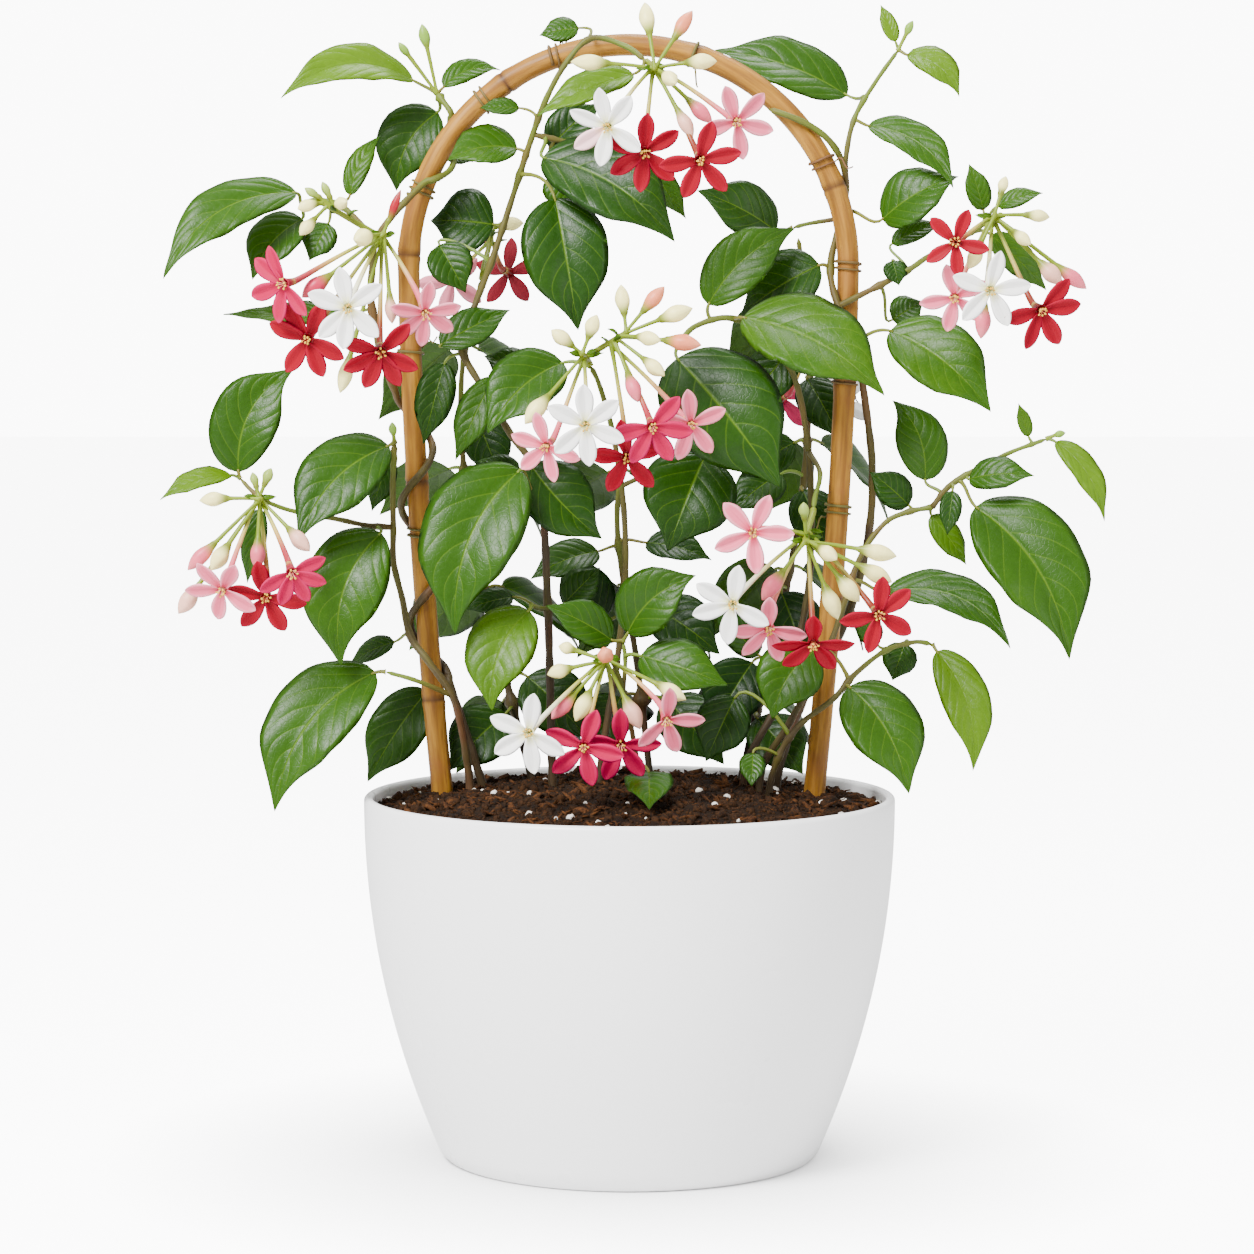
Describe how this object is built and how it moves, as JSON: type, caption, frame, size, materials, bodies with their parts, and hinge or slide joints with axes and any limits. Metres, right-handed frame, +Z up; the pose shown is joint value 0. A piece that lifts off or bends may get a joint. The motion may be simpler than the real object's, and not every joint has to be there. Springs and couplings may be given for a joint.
{
  "type": "potted climbing plant",
  "caption": "Rangoon creeper trained round a bamboo hoop in a round white plastic pot, with hanging clusters of white, pink and red flowers.",
  "frame": {"origin": "middle of the pot's underside, on the surface it stands on", "axes": "+Z up; +X along the hoop towards its right leg, seen from the front; -Y is the front, where the flower clusters hang"},
  "size_m": [0.4423, 0.254, 0.548],
  "materials": {
    "pot_plastic": "satin",
    "soil": "matte",
    "bamboo": "satin",
    "leaf": "satin",
    "flower_stalk": "satin",
    "petal_white": "matte",
    "petal_pink": "matte",
    "petal_rose": "matte",
    "petal_red": "matte"
  },
  "bodies": {
    "root": {"cluster_back_left": "flower_stalk", "cluster_back_right": "flower_stalk", "cluster_bottom": "flower_stalk", "cluster_centre": "flower_stalk", "cluster_left_high": "flower_stalk", "cluster_left_low": "flower_stalk", "cluster_right_high": "flower_stalk", "cluster_right_low": "flower_stalk", "cluster_top": "flower_stalk", "floret_back_left_1_red": "petal_red", "floret_back_left_2_pink": "petal_pink", "floret_back_right_1_white": "petal_white", "floret_back_right_2_rose": "petal_rose", "floret_bottom_1_white": "petal_white", "floret_bottom_2_rose": "petal_rose", "floret_bottom_3_rose": "petal_rose", "floret_bottom_4_pink": "petal_pink", "floret_centre_1_white": "petal_white", "floret_centre_2_rose": "petal_rose", "floret_centre_3_red": "petal_red", "floret_centre_4_pink": "petal_pink", "floret_centre_5_pink": "petal_pink", "floret_left_high_1_rose": "petal_rose", "floret_left_high_2_white": "petal_white", "floret_left_high_3_red": "petal_red", "floret_left_high_4_red": "petal_red", "floret_left_high_5_pink": "petal_pink", "floret_left_low_1_rose": "petal_rose", "floret_left_low_2_red": "petal_red", "floret_left_low_3_pink": "petal_pink", "floret_right_high_1_red": "petal_red", "floret_right_high_2_white": "petal_white", "floret_right_high_3_red": "petal_red", "floret_right_high_4_pink": "petal_pink", "floret_right_low_1_pink": "petal_pink", "floret_right_low_2_white": "petal_white", "floret_right_low_3_pink": "petal_pink", "floret_right_low_4_red": "petal_red", "floret_right_low_5_red": "petal_red", "floret_top_1_white": "petal_white", "floret_top_2_red": "petal_red", "floret_top_3_red": "petal_red", "floret_top_4_pink": "petal_pink", "hoop": "bamboo", "pot": "pot_plastic", "soil": "soil", "vine_back_centre": "leaf", "vine_back_left": "leaf", "vine_back_right": "leaf", "vine_bottom": "leaf", "vine_centre": "leaf", "vine_inner_left": "leaf", "vine_inner_right": "leaf", "vine_left_high": "leaf", "vine_left_low": "leaf", "vine_right_high": "leaf", "vine_right_low": "leaf", "vine_right_mid": "leaf"}
  },
  "joints": []
}
